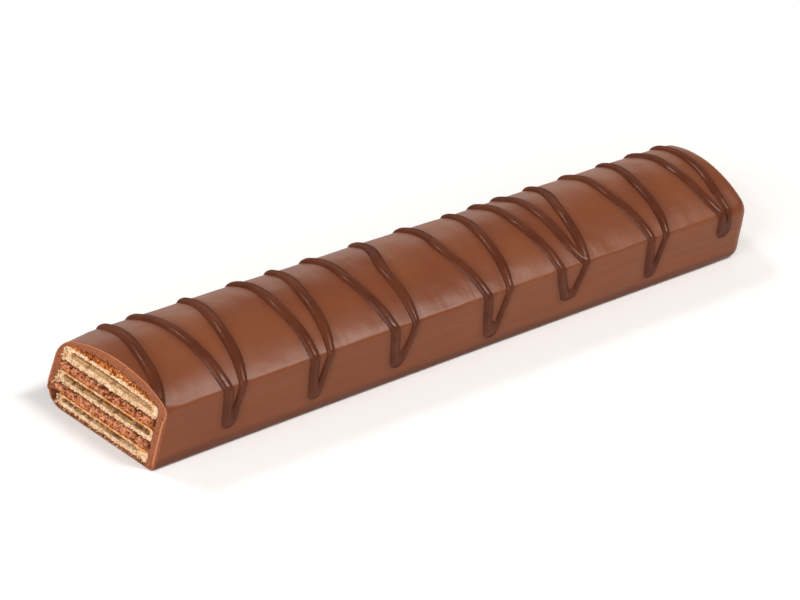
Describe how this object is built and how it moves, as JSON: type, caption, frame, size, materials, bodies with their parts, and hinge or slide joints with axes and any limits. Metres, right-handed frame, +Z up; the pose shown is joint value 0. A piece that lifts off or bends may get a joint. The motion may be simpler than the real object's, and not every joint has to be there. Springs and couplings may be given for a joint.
{
  "type": "hazelnut cream wafer bar",
  "caption": "Long milk chocolate coated wafer bar with a domed top and a zigzag drizzle, cut at one end to show crisp wafer sheets and hazelnut cream layers.",
  "frame": {"origin": "middle of the bounding box on the surface that the bar rests on", "axes": "+X along the bar from the cut end to the closed far end, +Z up through the domed top, -Y towards the front side"},
  "size_m": [0.1246, 0.0234, 0.0144],
  "materials": {
    "milk_chocolate": "satin milk chocolate with a soft sheen",
    "dark_drizzle": "glossy darker chocolate thread",
    "wafer": "matte crisp baked wafer",
    "hazelnut_cream": "matte granular hazelnut cream"
  },
  "bodies": {
    "root": {"chocolate_coat": "milk_chocolate", "wafer_top": "wafer", "cream_upper": "hazelnut_cream", "wafer_middle": "wafer", "cream_lower": "hazelnut_cream", "wafer_bottom": "wafer"}
  },
  "joints": []
}
